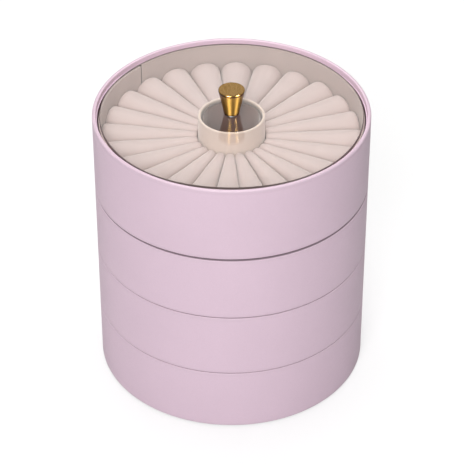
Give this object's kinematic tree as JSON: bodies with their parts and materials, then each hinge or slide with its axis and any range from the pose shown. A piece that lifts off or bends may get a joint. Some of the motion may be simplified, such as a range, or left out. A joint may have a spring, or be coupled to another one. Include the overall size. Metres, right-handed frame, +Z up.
{
  "type": "jewellery case",
  "caption": "Round tiered leather jewellery case: stacked trays swing out on one off-centre bolt, ring rolls fan round a centre well, and a clear lid with a brass knob lifts off.",
  "frame": {"origin": "centre of the round footprint, on the surface that the case stands on", "axes": "+Z up, -Y towards the front, +X to the right seen from the front; the pivot bolt is at the back left"},
  "size_m": [0.165, 0.165, 0.1907],
  "materials": {
    "pu_leather": "pale pink-mauve coated leather with a fine pebble grain, satin",
    "velvet_beige": "short-pile beige velvet over card",
    "roll_velvet": "short-pile pale beige velvet over foam",
    "well_velvet": "short-pile taupe velvet over card",
    "fibreboard": "dense fibreboard, papered",
    "felt": "pressed felt",
    "clear_acrylic": "polished clear acrylic",
    "gold_knob": "turned and polished, warm gold",
    "nylon": "natural nylon",
    "steel": "zinc plated"
  },
  "bodies": {
    "bottom_tray": {"base_felt": "felt", "bottom_tray_wall": "pu_leather", "bottom_tray_floor_board": "fibreboard", "bottom_tray_wall_lining": "velvet_beige", "bottom_tray_floor_pad": "velvet_beige", "bottom_tray_pivot_post": "velvet_beige", "pivot_bolt": "steel", "pivot_spacer_1": "nylon", "pivot_spacer_2": "nylon", "pivot_spacer_3": "nylon", "pivot_nut_washer": "steel", "pivot_lock_nut": "steel"},
    "third_tray": {"third_tray_wall": "pu_leather", "third_tray_floor_board": "fibreboard", "third_tray_wall_lining": "velvet_beige", "third_tray_floor_pad": "velvet_beige", "third_tray_pivot_post": "velvet_beige", "third_tray_divider": "velvet_beige"},
    "second_tray": {"second_tray_wall": "pu_leather", "second_tray_floor_board": "fibreboard", "second_tray_wall_lining": "velvet_beige", "second_tray_floor_pad": "velvet_beige", "second_tray_pivot_post": "velvet_beige", "second_tray_long_divider": "velvet_beige", "second_tray_short_divider": "velvet_beige"},
    "top_tray": {"top_tray_wall": "pu_leather", "top_tray_floor_board": "fibreboard", "top_tray_wall_lining": "velvet_beige", "top_tray_pivot_post": "fibreboard", "ring_pad_drum": "fibreboard", "center_collar": "roll_velvet", "well_floor_pad": "well_velvet", "well_lining": "well_velvet", "ring_roll_01": "roll_velvet", "ring_roll_02": "roll_velvet", "ring_roll_03": "roll_velvet", "ring_roll_04": "roll_velvet", "ring_roll_05": "roll_velvet", "ring_roll_06": "roll_velvet", "ring_roll_07": "roll_velvet", "ring_roll_08": "roll_velvet", "ring_roll_09": "roll_velvet", "ring_roll_10": "roll_velvet", "ring_roll_11": "roll_velvet", "ring_roll_12": "roll_velvet", "ring_roll_13": "roll_velvet", "ring_roll_14": "roll_velvet", "ring_roll_15": "roll_velvet", "ring_roll_16": "roll_velvet", "ring_roll_17": "roll_velvet", "ring_roll_18": "roll_velvet", "ring_roll_19": "roll_velvet", "ring_roll_20": "roll_velvet", "ring_roll_21": "roll_velvet", "ring_roll_22": "roll_velvet", "ring_roll_23": "roll_velvet", "ring_roll_24": "roll_velvet"},
    "lid": {"lid_disc": "clear_acrylic", "lid_knob": "gold_knob", "knob_screw": "steel"}
  },
  "joints": [
    {"name": "third_tray_swivel", "type": "hinge", "parent": "bottom_tray", "child": "third_tray", "pos_m": [-0.048, 0.0504, 0.043], "axis": [0, 0, 1], "continuous": true},
    {"name": "second_tray_swivel", "type": "hinge", "parent": "bottom_tray", "child": "second_tray", "pos_m": [-0.048, 0.0504, 0.0853], "axis": [0, 0, 1], "continuous": true},
    {"name": "top_tray_swivel", "type": "hinge", "parent": "bottom_tray", "child": "top_tray", "pos_m": [-0.048, 0.0504, 0.1277], "axis": [0, 0, 1], "continuous": true},
    {"name": "lid_lift", "type": "slide", "parent": "top_tray", "child": "lid", "axis": [0, 0, 1], "range_m": [0, 0.06]}
  ]
}
